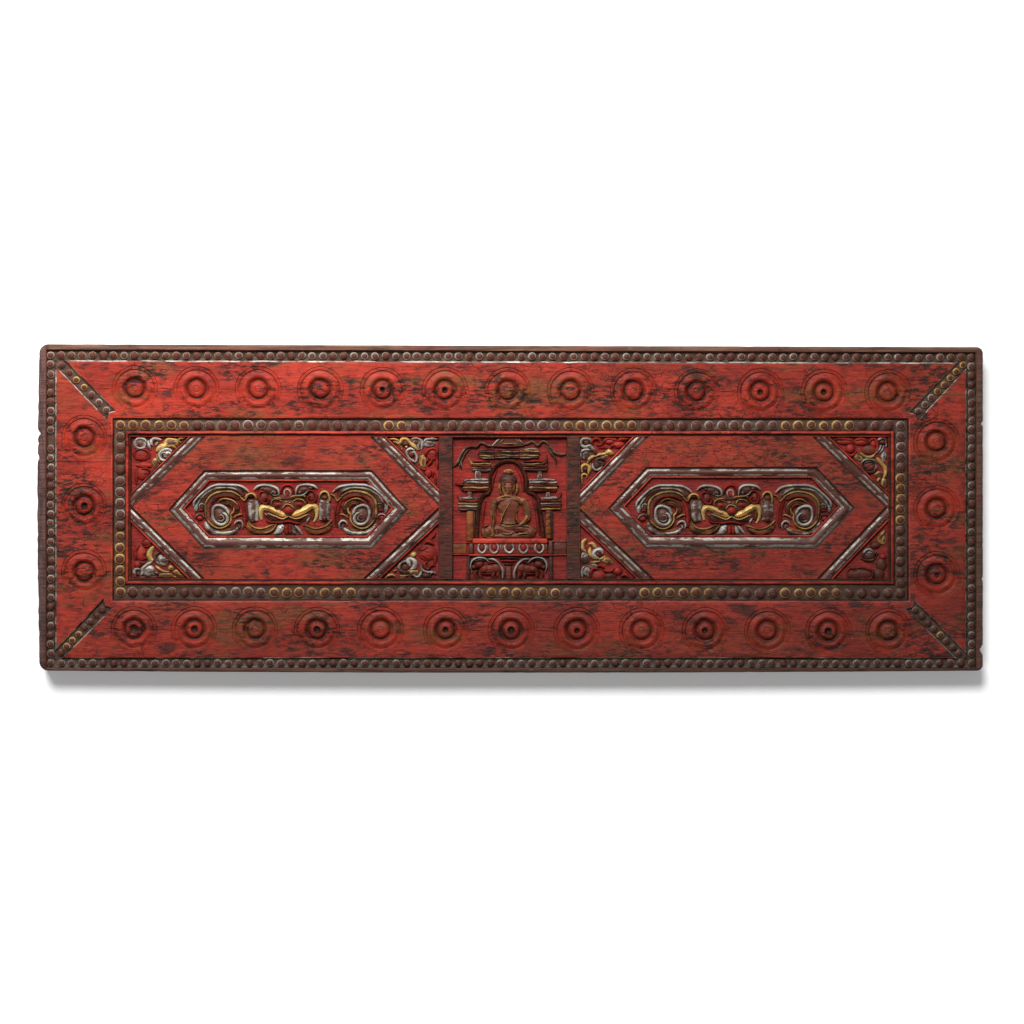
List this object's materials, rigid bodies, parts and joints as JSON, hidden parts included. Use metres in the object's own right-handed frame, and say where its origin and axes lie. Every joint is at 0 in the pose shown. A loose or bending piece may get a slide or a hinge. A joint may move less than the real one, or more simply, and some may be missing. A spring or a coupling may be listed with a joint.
{
  "type": "tibetan manuscript cover",
  "caption": "Carved wooden cover board for a long loose-leaf book, with beaded frame, roundels, two masks and a central shrine.",
  "frame": {"origin": "middle of the underside", "axes": "+X along the board's length, +Y across it towards the top of the carved picture, +Z out of the carved face"},
  "size_m": [0.719, 0.25, 0.03],
  "materials": {
    "red_lacquer": "worn red lacquer over carved wood, with dark crackle and brown wood showing through",
    "bare_wood": "dark aged wood of the margin, edges and back",
    "silver_leaf": "tarnished silver leaf over red ground, rubbed through on the crests",
    "gold_leaf": "rubbed gold leaf over red ground"
  },
  "bodies": {
    "root": {"cover_board": "red_lacquer"}
  },
  "joints": []
}
